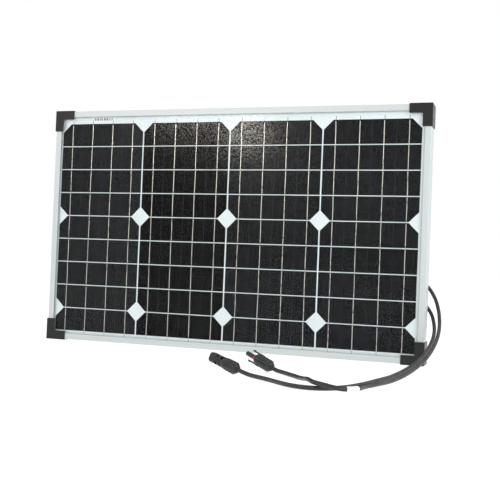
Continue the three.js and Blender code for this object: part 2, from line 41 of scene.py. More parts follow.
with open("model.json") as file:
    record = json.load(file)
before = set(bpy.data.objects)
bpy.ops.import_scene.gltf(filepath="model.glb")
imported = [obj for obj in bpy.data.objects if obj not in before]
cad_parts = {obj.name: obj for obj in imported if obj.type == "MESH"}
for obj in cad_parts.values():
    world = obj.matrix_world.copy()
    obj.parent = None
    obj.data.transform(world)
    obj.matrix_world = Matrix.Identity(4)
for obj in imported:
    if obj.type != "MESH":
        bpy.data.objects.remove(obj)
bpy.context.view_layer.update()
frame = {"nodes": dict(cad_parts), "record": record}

# ---- camera ----
CAMERA_AT = Vector((0.4943, -1.3399, 0.1405))
CAMERA_TURN = (91.1394, -2.3097, 18.7577)  # degrees about X, Y and Z, from a camera that looks straight down
LENS, SENSOR = 61.68, 36


def make_camera():
    data = bpy.data.cameras.new("camera")
    data.sensor_width = SENSOR
    data.lens = LENS
    data.clip_start, data.clip_end = 0.05, 60
    camera = bpy.data.objects.new("camera", data)
    turn = Euler([math.radians(angle) for angle in CAMERA_TURN]).to_matrix().to_4x4()
    camera.matrix_world = Matrix.Translation(CAMERA_AT) @ turn
    bpy.context.scene.collection.objects.link(camera)
    bpy.context.scene.camera = camera


make_camera()


# ---- materials ----
class Look:
    """A material, with short ways to add nodes to it."""

    def __init__(self, name, color, roughness, metallic=0.0, specular=0.5):
        self.material = bpy.data.materials.new(name)
        self.material.use_nodes = True
        self.material.diffuse_color = (*color, 1)
        self.tree = self.material.node_tree
        self.shader = self.tree.nodes["Principled BSDF"]
        self.color = (*color, 1)
        self.shader.inputs["Base Color"].default_value = self.color
        self.shader.inputs["Roughness"].default_value = roughness
        self.shader.inputs["Metallic"].default_value = metallic
        self.shader.inputs["Specular IOR Level"].default_value = specular

    def add(self, kind, **settings):
        """A new shader node of a kind, with its settings."""
        node = self.tree.nodes.new("ShaderNode" + kind)
        for key, value in settings.items():
            setattr(node, key, value)
        return node

    def feed(self, socket, source):
        """Links a socket to an output, or sets its value."""
        if isinstance(source, bpy.types.NodeSocket):
            self.tree.links.new(source, socket)
        else:
            socket.default_value = source

    def place(self, stretch=(1, 1, 1)):
        """A point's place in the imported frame, in metres, times stretch."""
        mapping = self.add("Mapping")
        self.feed(mapping.inputs["Vector"], self.add("TexCoord").outputs["Object"])
        mapping.inputs["Scale"].default_value = stretch
        return mapping.outputs["Vector"]

    def position(self):
        """The outputs X, Y and Z of a point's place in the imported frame, in metres."""
        node = self.add("SeparateXYZ")
        self.feed(node.inputs[0], self.place())
        return node.outputs

    def attribute(self, name):
        return self.add("Attribute", attribute_name=name).outputs["Fac"]

    def noise(self, scale, detail=2.0, stretch=(1, 1, 1)):
        """Noise of about scale blobs to the metre, more along an axis that is stretched."""
        node = self.add("TexNoise")
        self.feed(node.inputs["Vector"], self.place(stretch))
        node.inputs["Scale"].default_value = scale
        node.inputs["Detail"].default_value = detail
        return node.outputs["Fac"]

    def span(self, source, low, high, start=0.3, end=0.7):
        """source from start to end, as a value from low to high."""
        node = self.add("MapRange")
        ends = {"Value": source, "From Min": start, "From Max": end, "To Min": low, "To Max": high}
        for socket, value in ends.items():
            self.feed(node.inputs[socket], value)
        return node.outputs["Result"]

    def math(self, operation, first, second=0.0):
        node = self.add("Math", operation=operation)
        self.feed(node.inputs[0], first)
        self.feed(node.inputs[1], second)
        return node.outputs[0]

    def mix(self, factor, first, second, blend="MIX"):
        node = self.add("Mix", data_type="RGBA", blend_type=blend)
        self.feed(node.inputs["Factor"], factor)
        for index, color in ((6, first), (7, second)):  # the two colour inputs
            self.feed(node.inputs[index], color)
        return node.outputs[2]

    def vary(self, source, dark, light):
        """Paints the look's colour from dark to light times itself, as source rises."""
        self.paint(self.mix(self.span(source, 0, 1), shade(self.color, dark), shade(self.color, light)))

    def paint(self, source):
        self.feed(self.shader.inputs["Base Color"], source)

    def rough(self, source):
        self.feed(self.shader.inputs["Roughness"], source)

    def bump(self, height, distance_mm, strength=1.0):
        """Adds relief on top of any relief that the look already has."""
        node = self.add("Bump")
        self.feed(node.inputs["Height"], height)
        node.inputs["Distance"].default_value = distance_mm * MM
        node.inputs["Strength"].default_value = strength
        old = self.shader.inputs["Normal"]
        if old.is_linked:
            self.feed(node.inputs["Normal"], old.links[0].from_socket)
        self.feed(old, node.outputs["Normal"])

    def clear(self, color):
        """A see-through shader, for a surface without the principled one."""
        node = self.add("BsdfTransparent")
        node.inputs["Color"].default_value = (*color, 1)
        return node.outputs[0]

    def show(self, surface):
        """Makes surface the material's shader in place of the principled one."""
        self.tree.nodes.remove(self.shader)
        self.feed(self.tree.nodes["Material Output"].inputs["Surface"], surface)


def shade(color, factor):
    """A colour times factor, as red, green, blue and alpha."""
    return (*(min(1.0, part * factor) for part in color[:3]), 1)


def anodised(name, stretch):
    """Satin aluminium with a drawn grain along the rail."""
    look = Look(name, (0.54, 0.583, 0.59), 0.48, metallic=0.22)
    grain = look.noise(1.0, 3, stretch)
    look.vary(grain, 0.95, 1.04)
    look.rough(look.span(grain, 0.4, 0.52))
    look.bump(grain, 0.02, 0.5)
    return look.material


def moulded(name, color, roughness, grain_mm=0.5, depth_mm=0.03, wear=0.25, specular=0.5):
    """Moulded plastic: a fine spark-eroded grain, faint flow marks, and a few pale rubs."""
    look = Look(name, color, roughness, specular=specular)
    grain = look.noise(1 / (grain_mm * MM), 2)
    flow = look.noise(35, 3)
    rubs = look.noise(160, 5, (1, 1, 0.3))
    base = look.mix(look.span(flow, 0, 1), shade(look.color, 0.85), shade(look.color, 1.2))
    pale = (*(part + 0.03 for part in color), 1)
    look.paint(look.mix(look.span(rubs, 0, wear, 0.62, 0.75), base, pale))
    look.rough(look.span(rubs, roughness, roughness - 0.12, 0.4, 0.7))
    look.bump(grain, depth_mm, 0.6)
    return look.material


def jacket():
    """The leads' rubber-like jacket, with a little dust."""
    look = Look("lead_jacket", (0.0125, 0.014, 0.0155), 0.36)
    dust = look.noise(220, 4)
    look.paint(look.mix(look.span(dust, 0, 0.5, 0.5, 0.8), look.color, (0.04, 0.04, 0.042, 1)))
    look.rough(look.span(look.noise(90, 2), 0.34, 0.52))
    look.bump(look.noise(1500, 2), 0.02, 0.5)
    return look.material


def silicon():
    """Near-black wafer with printed fingers, a fine line midway between ribbons, and a tone for each cell."""
    look = Look("solar_cell", (0.0065, 0.0072, 0.0085), 0.4, specular=0.05)
    tone = look.attribute("tone")
    low = look.mix(tone, (0.0014, 0.0016, 0.0019, 1), (0.0150, 0.0159, 0.0174, 1))
    high = look.mix(tone, (0.0026, 0.0028, 0.0032, 1), (0.0188, 0.0200, 0.0228, 1))
    wafer = look.mix(look.span(look.noise(9, 2), 0, 0.7), low, high)
    wafer = look.mix(1.0, wafer, look.span(look.noise(400, 1), 0.45, 1.6, 0.35, 0.65), "MULTIPLY")

    paste = look.mix(tone, (0.006, 0.0065, 0.007, 1), (0.027, 0.028, 0.03, 1))
    height = look.math("FRACT", look.math("MULTIPLY", look.position()["Z"], 1 / (FINGER_PITCH * MM)))
    finger = look.math("LESS_THAN", height, FINGER_WIDTH / FINGER_PITCH)
    printed = look.mix(look.math("MULTIPLY", finger, 0.5), wafer, paste)

    middle = look.math("LESS_THAN", look.math("PINGPONG", look.attribute("across"), 0.5), MIDDLE_LINE)
    look.paint(look.mix(middle, printed, (0.05, 0.048, 0.052, 1)))
    look.rough(look.span(look.noise(500, 3), 0.32, 0.5))
    return look.material


def tinned(name, color=(0.6, 0.59, 0.555), roughness=0.3):
    """Dipped tin, rippled along the ribbon."""
    look = Look(name, color, roughness, metallic=0.9)
    ripple = look.noise(260, 3, (1, 1, 0.4))
    look.vary(ripple, 0.78, 1.2)
    look.rough(look.span(ripple, roughness - 0.08, roughness + 0.14))
    look.bump(ripple, 0.06, 0.6)
    return look.material


def backsheet():
    """White film, with the cells behind it just showing as a low relief."""
    look = Look("backsheet", (0.88, 0.96, 0.985), 0.5, specular=0.4)
    position = look.position()

    def ridge(axis, offset, pitch):
        moved = look.math("SUBTRACT", position[axis], offset * MM)
        wave = look.math("PINGPONG", moved, pitch * MM / 2)
        return look.span(wave, 1, 0, 0, 2.2 * MM)

    relief = look.math("MAXIMUM", ridge("X", GRID_X, COLUMN_PITCH), ridge("Z", GRID_Z + ROW_PITCH / 2, ROW_PITCH))
    look.bump(relief, -0.12, 0.5)
    look.bump(look.noise(60, 3), 0.15, 0.35)
    look.vary(look.noise(14, 2), 0.985, 1.012)
    return look.material


def coated_glass():
    """Tempered glass with a matt, anti-reflective face, which sparkles in a bright reflection.

    It reflects only on its outer face, because the film is laid onto its inner one.
    """
    look = Look("front_glass", (0.9, 0.94, 0.95), 0.1)
    relief = look.add("Bump")
    look.feed(relief.inputs["Height"], look.noise(600, 2))
    relief.inputs["Distance"].default_value = 0.035 * MM
    relief.inputs["Strength"].default_value = 1.0

    mirror = look.add("Fresnel")
    mirror.inputs["IOR"].default_value = 1.2  # below plain glass, for the coating
    look.feed(mirror.inputs["Normal"], relief.outputs["Normal"])
    front, back = (corner.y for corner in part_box("front_glass"))
    outside = look.math("LESS_THAN", look.position()["Y"], (front + back) / 2)
    sparkle = look.span(look.noise(360, 1), 0.15, 1.85, 0.4, 0.6)

    gloss = look.add("BsdfGlossy")
    gloss.inputs["Roughness"].default_value = 0.15
    look.feed(gloss.inputs["Normal"], relief.outputs["Normal"])
    both = look.add("MixShader")
    look.feed(both.inputs[0], look.math("MULTIPLY", look.math("MULTIPLY", mirror.outputs[0], outside), sparkle))
    look.feed(both.inputs[1], look.clear((0.995, 1, 0.998)))
    look.feed(both.inputs[2], gloss.outputs[0])
    look.show(both.outputs[0])
    return look.material


def film():
    """The clear film between the glass and the cells."""
    look = Look("encapsulant", (0.95, 0.96, 0.97), 0.3)
    look.show(look.clear((0.995, 0.997, 1)))
    return look.material


def plain(name, color, roughness, metallic=0.0, specular=0.5, scale=300, depth_mm=0.03):
    """A small part's material: its colour, varied a little by one grain that also makes its relief."""
    look = Look(name, color, roughness, metallic, specular)
    grain = look.noise(scale, 3)
    look.vary(grain, 0.93, 1.06)
    look.rough(look.span(grain, roughness - 0.05, roughness + 0.06))
    look.bump(grain, depth_mm, 0.5)
    return look.material


# ---- lay-up of the cells ----
# The pitches and the grid's middle are the CAD's. A cell is 0.1 mm wider and 0.2 mm taller than in the CAD, because
# the gaps look narrower in the photograph.
COLUMNS, ROWS = 4, 9
CELL_WIDTH, CELL_HEIGHT = 156.1, 39.2
CHAMFER, SQUARE_CORNER = 15.4, 0.4
COLUMN_PITCH, ROW_PITCH = 158.5, 40.6
GRID_X, GRID_Z = -1.8, 198.7
CELL_BACK, CELL_THICKNESS = -9.35, 0.15
CELL_FRONT = CELL_BACK - CELL_THICKNESS
FINGER_PITCH, FINGER_WIDTH = 1.9, 0.3
COLUMN_TONES, TONE_SPREAD = (0.9, 0.08, 0.72, 0.66), 0.12
RIBBON_PITCH, RIBBON_WIDTH, RIBBON_HEIGHT = 39.0, 1.1, 0.12
RIBBON_START = 2.2  # below the top edge of a column's first cell
MIDDLE_LINE = 0.006  # half the fine line's width, in ribbon pitches
RIBBON_OFFSETS = [RIBBON_PITCH * step for step in (-1.5, -0.5, 0.5, 1.5)]

LOOKS = {
    "frame_x": anodised("frame_aluminium_x", (6, 900, 900)),
    "frame_z": anodised("frame_aluminium_z", (900, 900, 6)),
    "key": plain("key_alloy", (0.55, 0.56, 0.57), 0.5, 0.8),
    "cap": moulded("cap_plastic", (0.0086, 0.0096, 0.0102), 0.42, specular=0.35),
    "silicone": plain("silicone", (0.78, 0.79, 0.8), 0.6, scale=120, depth_mm=0.2),
    "glass": coated_glass(),
    "film": film(),
    "backsheet": backsheet(),
    "cell": silicon(),
    "ribbon": tinned("ribbon_tin"),
    "stub": tinned("ribbon_tin_dull", (0.40, 0.37, 0.36), 0.45),
    "tin": tinned("contact_tin", (0.66, 0.66, 0.65), 0.28),
    "label": plain("label_film", (0.9, 0.9, 0.93), 0.4, scale=90, depth_mm=0.01),
    "ink": plain("label_ink", (0.16, 0.13, 0.17), 0.5, scale=400, depth_mm=0.01),
    "box": moulded("box_plastic", (0.018, 0.0185, 0.02), 0.42, 0.7, 0.05),
    "rubber": plain("gasket_rubber", (0.02, 0.02, 0.022), 0.8),
    "brass": plain("terminal_brass", (0.55, 0.38, 0.2), 0.3, 1.0, scale=200),
    "diode": plain("diode_plastic", (0.02, 0.02, 0.022), 0.35),
    "jacket": jacket(),
    "marker": plain("marker_white", (0.82, 0.82, 0.8), 0.45),
    "connector": moulded("connector_plastic", (0.014, 0.0152, 0.0175), 0.3, 0.4, 0.03),
    "red": plain("seal_red", (0.58, 0.012, 0.035), 0.35),
}

# Which look each slot's CAD nodes take.
SLOT_LOOKS = {
    "key_alloy": "key", "cap_plastic": "cap", "edge_silicone": "silicone", "front_glass": "glass",
    "encapsulant": "film", "backsheet_white": "backsheet", "solar_cells": "cell", "tinned_ribbon": "ribbon",
    "label_film": "label", "box_plastic": "box", "gasket_rubber": "rubber", "terminal_brass": "brass",
    "diode_plastic": "diode", "lead_jacket": "jacket", "marker_white": "marker",
    "connector_plastic": "connector", "contact_tin": "tin", "seal_red": "red",
}


def smooth(mesh):
    mesh.shade_smooth()
    mesh.set_sharp_from_angle(angle=math.radians(32))


def soften(thing, width_mm, segments=2):
    """Rounds a piece's edges."""
    weld = thing.modifiers.new("weld", "WELD")
    weld.merge_threshold = 1e-6
    bevel = thing.modifiers.new("bevel", "BEVEL")
    bevel.width = width_mm * MM
    bevel.segments = segments
    bevel.limit_method = "ANGLE"
    bevel.angle_limit = math.radians(30)


# How far the edges of the CAD nodes that stay are rounded, by the start of their names.
EDGES = {"frame_rail": 0.35, "corner_cap": 0.55}


def dress_nodes():
    """Gives every CAD node the look for its slot, or for its name where the slot alone doesn't decide, and rounds
    the edges of the rails and corner caps.
    """
    slots = {row["node"]: row["material_slot"] for row in frame["record"]["subparts"]}
    for name, node in frame["nodes"].items():
        slot = slots[name]
        if slot == "frame_aluminium":
            chosen = "frame_x" if name.endswith(("top", "bottom")) else "frame_z"
        elif name in ("encapsulant_rear", "lead_out_strap_middle"):
            chosen = "backsheet"  # the rear film is white, and white tape covers the strap between two columns
        else:
            chosen = SLOT_LOOKS[slot]
        node.data.materials.clear()
        node.data.materials.append(LOOKS[chosen])
        for start, width in EDGES.items():
            if name.startswith(start):
                soften(node, width)


dress_nodes()


# ---- mesh helpers ----
def box_mm(node):
    """A CAD node's lowest and highest corners, in millimetres."""
    return [[round(part / MM, 3) for part in corner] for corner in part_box(node)]


def piece(name, verts, faces, look, body="panel", slot=None, replaces=()):
    """A new mesh piece from points in millimetres."""
    mesh = bpy.data.meshes.new(name)
    mesh.from_pydata([Vector(v) * MM for v in verts], [], faces)
    return finish_piece(name, mesh, look, body, slot, replaces)


def finish_piece(name, mesh, look, body="panel", slot=None, replaces=()):
    """Turns a mesh into a piece with its look, which rides on a body and may replace CAD nodes."""
    mesh.validate()
    made = bmesh.new()
    made.from_mesh(mesh)
    bmesh.ops.recalc_face_normals(made, faces=made.faces)
    made.to_mesh(mesh)
    made.free()
    mesh.name = name
    mesh.materials.clear()
    mesh.materials.append(LOOKS[look])
    smooth(mesh)
    thing = bpy.data.objects.new(name, mesh)
    bpy.context.scene.collection.objects.link(thing)
    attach(thing, body)
    if replaces:
        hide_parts(*replaces)
    return thing


def gather(shape, verts, faces):
    """Adds a shape to the points and faces of a larger one."""
    start = len(verts)
    faces.extend(tuple(start + i for i in face) for face in shape[1])
    verts.extend(shape[0])


def catmull(points, per=12):
    """A centripetal Catmull-Rom line through points, its end tangents taken from the first and last spans."""
    p = [Vector(q) for q in points]
    p = [2 * p[0] - p[1], *p, 2 * p[-1] - p[-2]]
    line = []
    for i in range(1, len(p) - 2):
        p0, p1, p2, p3 = p[i - 1 : i + 3]
        d0, d1, d2 = (max((b - a).length ** 0.5, 1e-4) for a, b in ((p0, p1), (p1, p2), (p2, p3)))
        t1 = ((p1 - p0) / d0 - (p2 - p0) / (d0 + d1) + (p2 - p1) / d1) * d1
        t2 = ((p2 - p1) / d1 - (p3 - p1) / (d1 + d2) + (p3 - p2) / d2) * d1
        for k in range(per):
            t = k / per
            cube = 2 * p1 - 2 * p2 + t1 + t2
            line.append(p1 + t1 * t + (3 * p2 - 3 * p1 - 2 * t1 - t2) * t * t + cube * t**3)
    line.append(p[-2])
    return line


def walk(line):
    """Distances along a line, one for each of its points."""
    along = [0.0]
    for a, b in zip(line, line[1:]):
        along.append(along[-1] + (b - a).length)
    return along


def at(line, along, distance):
    """The point at a distance along a line."""
    for i in range(1, len(line)):
        if along[i] >= distance:
            share = (distance - along[i - 1]) / max(along[i] - along[i - 1], 1e-9)
            return line[i - 1].lerp(line[i], share)
    return line[-1]


# ---- leads ----
def connector_matrix(where, roll, tilt, turn=27):
    """Puts a connector's back end at where. Its X axis then points out of its mating end, up by tilt degrees."""
    spin = Matrix.Rotation(math.radians(180 - turn), 4, "Z") @ Matrix.Rotation(math.radians(-tilt), 4, "Y")
    return Matrix.Translation(where) @ spin @ Matrix.Rotation(math.radians(roll), 4, "X")


SOCKET = connector_matrix((127.6, -293.7, 7.7), roll=57, tilt=13)
PLUG = connector_matrix((158.2, -243, 7.6), roll=-68, tilt=17)
LEAD_DIAMETER = 5.6
POSITIVE_ROUTE = [
    (-28, 2, 290), (-28, 2, 276), (-28, 2, 262), (-27, 2, 244), (-22, 3, 222), (-10, 5, 197), (10, 7, 174),
    (38, 9, 155), (74, 12, 140), (116, 14, 129), (160, 16, 120), (204, 17, 113), (246, 18, 109), (280, 19, 106),
    (304, 20.5, 104), (321, 21, 95), (334, 16.5, 80), (341, 2, 64), (344, -20, 50), (343, -48, 37), (339, -85, 25),
    (333, -124, 16), (324, -162, 9), (313, -205, 4), (301, -260, 3), (291, -308, 3), (278, -344, 3),
    (262, -362.5, 3), (241, -370, 3), (219, -363, 3), (198, -346, 3), (179, -328, 3), (163, -315, 3),
    (149, -306, 3.6),
]
NEGATIVE_ROUTE = [
    (28, 2, 290), (28, 2, 276), (28, 2, 262), (29, 2, 245), (34, 3, 226), (46, 5, 207), (66, 8, 189),
    (95, 11, 174), (132, 14, 162), (174, 16, 153), (218, 17, 147), (258, 18, 142), (286, 19.5, 138),
    (308, 20.5, 132), (326, 20.5, 122), (339, 14, 105), (347, 0, 87), (352, -23, 68), (354, -54, 52),
    (352, -92, 36), (346, -136, 22), (338, -176, 13), (329, -214, 7), (319, -258, 4), (308.6, -300.2, 4),
    (302.5, -322, 4), (299.7, -338.2, 4.2), (295.8, -359, 4.4), (288, -369.6, 4.8), (276, -375.3, 6.2),
    (260.7, -374.3, 8.6), (247, -364.9, 9.4), (236.2, -345.5, 9.2), (229.8, -331.1, 8), (221.1, -311.7, 5.5),
    (209.5, -291.5, 3.6), (199, -275.5, 3), (189, -264, 3), (178, -254.3, 3.6),
]


def lead_line(route, connector):
    """A lead's line, which runs straight into its connector at the end."""
    return catmull([*route, connector @ Vector((-9, 0, 0)), connector @ Vector((-0.3, 0, 0))])


def make_lead(name, line, node):
    """A lead as a round curve, which replaces its CAD node."""
    curve = bpy.data.curves.new(name, "CURVE")
    curve.dimensions = "3D"
    spline = curve.splines.new("POLY")
    spline.points.add(len(line) - 1)
    for point, position in zip(spline.points, line):
        point.co = (*(position * MM), 1)
    curve.bevel_depth = LEAD_DIAMETER / 2 * MM
    curve.bevel_resolution = 6
    curve.use_fill_caps = True
    curve.materials.append(LOOKS["jacket"])
    spline.use_smooth = True
    lead = bpy.data.objects.new(name, curve)
    bpy.context.scene.collection.objects.link(lead)
    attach(lead, "panel")
    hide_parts(node)
    return lead


positive_line = lead_line(POSITIVE_ROUTE, SOCKET)
negative_line = lead_line(NEGATIVE_ROUTE, PLUG)
positive_lead = make_lead("positive_lead", positive_line, "lead_positive")
negative_lead = make_lead("negative_lead", negative_line, "lead_negative")


# ---- solids that are cut and joined before they become pieces ----
def turned(profile, segments=64, ribs=0, six_sided=0.0):
    """Turns a closed profile of (distance along X, radius, rib depth) about X."""
    verts, faces = [], []
    for x, radius, depth in ((*row, 0)[:3] for row in profile):
        for i in range(segments):
            angle = 2 * math.pi * i / segments
            reach = radius
            if depth and ribs:
                reach -= depth * (0.5 - 0.5 * math.tanh(4 * math.cos(ribs * angle)))
            if depth and six_sided:
                turn = (angle + math.pi / 6) % (math.pi / 3) - math.pi / 6
                reach = min(radius, six_sided / math.cos(turn))
            verts.append((x, reach * math.cos(angle), reach * math.sin(angle)))
    count = len(profile)
    for k in range(count):
        for i in range(segments):
            j = (i + 1) % segments
            a, b = k * segments, (k + 1) % count * segments
            faces.append((a + i, a + j, b + j, b + i))
    return verts, faces


def prism(outline, low, high, place):
    """An outline of (u, v) from low to high along w. place is upright, endwise or level, which order the three."""
    count = len(outline)
    verts = [place(u, v, w) for w in (low, high) for u, v in outline]
    faces = [tuple(range(count)), tuple(range(2 * count - 1, count - 1, -1))]
    faces += [(i, (i + 1) % count, count + (i + 1) % count, count + i) for i in range(count)]
    return verts, faces


def upright(u, v, w):
    return (u, w, v)


def endwise(u, v, w):
    return (w, u, v)


def level(u, v, w):
    return (u, v, w)


def block(x0, x1, y0, y1, z0, z1):
    return prism([(x0, z0), (x1, z0), (x1, z1), (x0, z1)], y0, y1, upright)


def circle(radius, u=0.0, v=0.0, sides=32):
    steps = [2 * math.pi * i / sides for i in range(sides)]
    return [(u + radius * math.cos(a), v + radius * math.sin(a)) for a in steps]


def rounded(x0, x1, z0, z1, radius, steps=6):
    """A rectangle with round corners."""
    left, right, low, high = x0 + radius, x1 - radius, z0 + radius, z1 - radius
    centres = ((right, high, 0), (left, high, 90), (left, low, 180), (right, low, 270))
    outline = []
    for cx, cz, start in centres:
        for k in range(steps + 1):
            angle = math.radians(start + 90 * k / steps)
            outline.append((cx + radius * math.cos(angle), cz + radius * math.sin(angle)))
    return outline


def shifted(shape, matrix):
    verts, faces = shape
    return [tuple(matrix @ Vector(v)) for v in verts], faces


def rough_solid(shape):
    """A plain object of a shape, for the boolean cuts."""
    mesh = bpy.data.meshes.new("rough")
    mesh.from_pydata([Vector(v) * MM for v in shape[0]], [], shape[1])
    made = bmesh.new()
    made.from_mesh(mesh)
    bmesh.ops.remove_doubles(made, verts=made.verts, dist=1e-7)
    bmesh.ops.dissolve_degenerate(made, edges=made.edges, dist=1e-7)
    bmesh.ops.recalc_face_normals(made, faces=made.faces)
    made.to_mesh(mesh)
    made.free()
    thing = bpy.data.objects.new("rough", mesh)
    bpy.context.scene.collection.objects.link(thing)
    return thing


def shaped(start, *steps):
    """The mesh of start after steps of ("UNION" or "DIFFERENCE", shape)."""
    base = rough_solid(start)
    tools = []
    for operation, shape in steps:
        tool = rough_solid(shape)
        modifier = base.modifiers.new("cut", "BOOLEAN")
        modifier.object = tool
        modifier.operation = operation
        modifier.solver = "EXACT"
        tools.append(tool)
    bpy.context.view_layer.update()
    graph = bpy.context.evaluated_depsgraph_get()
    mesh = bpy.data.meshes.new_from_object(base.evaluated_get(graph))
    for thing in (base, *tools):
        old = thing.data
        bpy.data.objects.remove(thing)
        bpy.data.meshes.remove(old)
    return mesh


def made_piece(name, mesh, look, edge=0.0, segments=2, **facts):
    """A piece from a mesh, its edges rounded by edge millimetres."""
    thing = finish_piece(name, mesh, look, **facts)
    if edge:
        soften(thing, edge, segments)
    return thing


def simple(name, shape, look, edge=0.0, segments=2, **facts):
    """A piece from a shape that needs no cuts."""
    return made_piece(name, shaped(shape), look, edge, segments, **facts)


def sweep(line, radii, sides=24, closed=False):
    """A tube of changing radius along a line, with capped ends unless it is closed."""
    verts, faces = [], []
    side = None
    count = len(line)
    for i, (point, radius) in enumerate(zip(line, radii)):
        before = line[i - 1] if i or closed else line[0]
        after = line[(i + 1) % count] if i + 1 < count or closed else line[-1]
        along = (after - before).normalized()
        if side is None:
            side = along.orthogonal().normalized()
        side = (side - along * side.dot(along)).normalized()
        other = along.cross(side)
        for k in range(sides):
            angle = 2 * math.pi * k / sides
            verts.append(tuple(point + (side * math.cos(angle) + other * math.sin(angle)) * radius))
    for i in range(count if closed else count - 1):
        for k in range(sides):
            m = (k + 1) % sides
            a, b = i * sides, (i + 1) % count * sides
            faces.append((a + k, a + m, b + m, b + k))
    if not closed:
        faces.append(tuple(range(sides - 1, -1, -1)))
        faces.append(tuple(range((count - 1) * sides, count * sides)))
    return verts, faces


# ---- cells and their ribbons ----
def cell_outline(x, z, row):
    """A quarter of a square wafer: the first and last of every four strips keep its cut corners."""
    w, h = CELL_WIDTH / 2, CELL_HEIGHT / 2
    top = CHAMFER if row % 4 == 0 else SQUARE_CORNER
    low = CHAMFER if row % 4 == 3 else SQUARE_CORNER
    return [
        (x - w + low, z - h), (x + w - low, z - h), (x + w, z - h + low), (x + w, z + h - top),
        (x + w - top, z + h), (x - w + top, z + h), (x - w, z + h - top), (x - w, z - h + low),
    ]


def cell_places(column):
    """A column's middle, and the middles of its cells from the top down."""
    x = GRID_X + (column - (COLUMNS - 1) / 2) * COLUMN_PITCH
    return x, [GRID_Z + ((ROWS - 1) / 2 - row) * ROW_PITCH for row in range(ROWS)]


def make_cells(column, chance):
    x, heights = cell_places(column)
    verts, faces, tones, across = [], [], [], []
    for row, z in enumerate(heights):
        lean = chance.uniform(-0.12, 0.12) / 20
        outline = [(u + lean * (v - z), v) for u, v in cell_outline(x + chance.uniform(-0.2, 0.2), z, row)]
        cell = prism(outline, CELL_FRONT, CELL_BACK, upright)
        gather(cell, verts, faces)
        tones += [COLUMN_TONES[column] + chance.uniform(-TONE_SPREAD, TONE_SPREAD)] * len(cell[0])
        across += [(point[0] - x) / RIBBON_PITCH for point in cell[0]]
    cells = piece(
        f"cells_{column + 1}", verts, faces, "cell", slot="solar_cells", replaces=[f"cell_string_{column + 1}"],
    )
    for attribute, values in (("tone", tones), ("across", across)):
        cells.data.attributes.new(attribute, "FLOAT", "POINT").data.foreach_set("value", values)


def strip(line, width, front, back):
    """A flat ribbon, slightly crowned in front, along a line of (x, z) points."""
    section = [(-0.5, back), (-0.5, front + 0.05), (-0.2, front), (0.2, front), (0.5, front + 0.05), (0.5, back)]
    verts = [(x + u * width, y, z) for x, z in line for u, y in section]
    count = len(section)
    faces = []
    for i in range(len(line) - 1):
        for k in range(count):
            m = (k + 1) % count
            faces.append((i * count + k, i * count + m, (i + 1) * count + m, (i + 1) * count + k))
    faces.append(tuple(range(count)))
    faces.append(tuple(range(len(verts) - 1, len(verts) - count - 1, -1)))
    return verts, faces


def make_ribbons(column, chance):
    """The ribbons of a column, each a little askew on each cell, and the ends that come out behind its top cell."""
    x, heights = cell_places(column)
    ribbons, ends = ([], []), ([], [])
    for offset in RIBBON_OFFSETS:
        for row, z in enumerate(heights):
            top = z + CELL_HEIGHT / 2 - (RIBBON_START if row == 0 else 0.5)
            low = z - CELL_HEIGHT / 2 - (ROW_PITCH - CELL_HEIGHT if row < ROWS - 1 else 6)
            lean, bow = chance.uniform(-0.55, 0.55), chance.uniform(-0.35, 0.35)
            line = []
            for k in range(9):
                t = k / 8
                sway = lean * (t - 0.5) + bow * math.sin(math.pi * t)
                line.append((x + offset + sway, top + (low - top) * t))
            gather(strip(line, RIBBON_WIDTH, CELL_FRONT - RIBBON_HEIGHT, CELL_FRONT), *ribbons)
        upper = heights[0] + CELL_HEIGHT / 2
        end = [(x + offset + 0.3, upper + 7), (x + offset + 0.1, upper - 1)]
        gather(strip(end, 1.2, CELL_BACK + 0.01, CELL_BACK + 0.09), *ends)
    piece(f"ribbons_{column + 1}", *ribbons, "ribbon", slot="tinned_ribbon")
    piece(f"ribbon_ends_{column + 1}", *ends, "stub", slot="tinned_ribbon")


chance = random.Random(36)
for column_index in range(COLUMNS):
    make_cells(column_index, chance)
    make_ribbons(column_index, chance)


# ---- labels ----
def make_label_bars(chance):
    """Plain bars on the label behind the glass, in place of its marks."""
    (left, front, low), (right, _, _) = box_mm("serial_label")
    verts, faces = [], []
    x = left + 1.5
    while x < right - 2.5:
        width = chance.choice((1.6, 2.2, 3.0))
        gather(block(x, x + width, front - 0.04, front + 0.02, low + 0.5, low + 4.3), verts, faces)
        x += width + chance.choice((1.4, 2.0, 2.6))
    piece("serial_label_bars", verts, faces, "ink", slot="label_film")


def make_rear_table(chance):
    """Ruled lines and blank entries on the rating label."""
    (left, _, low), (right, back, high) = box_mm("rear_label")
    left, right, low, high = left + 4, right - 4, low + 4, high - 4
    heading, rows = 10, 9
    verts, faces = [], []

    def put(x0, x1, z0, z1):
        gather(block(x0, x1, back - 0.02, back + 0.03, z0, z1), verts, faces)

    def height(row):
        return low + (high - heading - low) * row / rows

    put(left, right, high - 7, high - 1)
    for row in range(rows + 1):
        put(left, right, height(row) - 0.2, height(row) + 0.2)
    for row in range(rows):
        z = height(row + 0.5)
        put(left + 3, left + 3 + chance.uniform(18, 38), z - 0.8, z + 0.8)
        put(right - 26, right - 26 + chance.uniform(8, 18), z - 0.8, z + 0.8)
    for x in (left, (left + right) / 2 + 8, right):
        put(x - 0.2, x + 0.2, low, high - heading)
    piece("rear_label_table", verts, faces, "ink", slot="label_film")


make_label_bars(chance)
make_rear_table(chance)

# ---- connectors ----
NUT_PROFILE = [
    (0.0, 3.1), (0.0, 5.0), (0.5, 5.5), (3.3, 7.1), (4.1, 7.3), (4.3, 7.9), (4.8, 8.25), (5.9, 8.3), (6.4, 8.0),
    (6.6, 7.7), (7.0, 8.15, 0.55), (8.0, 8.25, 0.6), (17.6, 8.25, 0.6), (18.4, 8.15, 0.5), (18.7, 7.8), (18.9, 8.1),
    (19.7, 8.1), (20.0, 7.8), (20.0, 6.3), (7.0, 6.3), (5.0, 3.1),
]


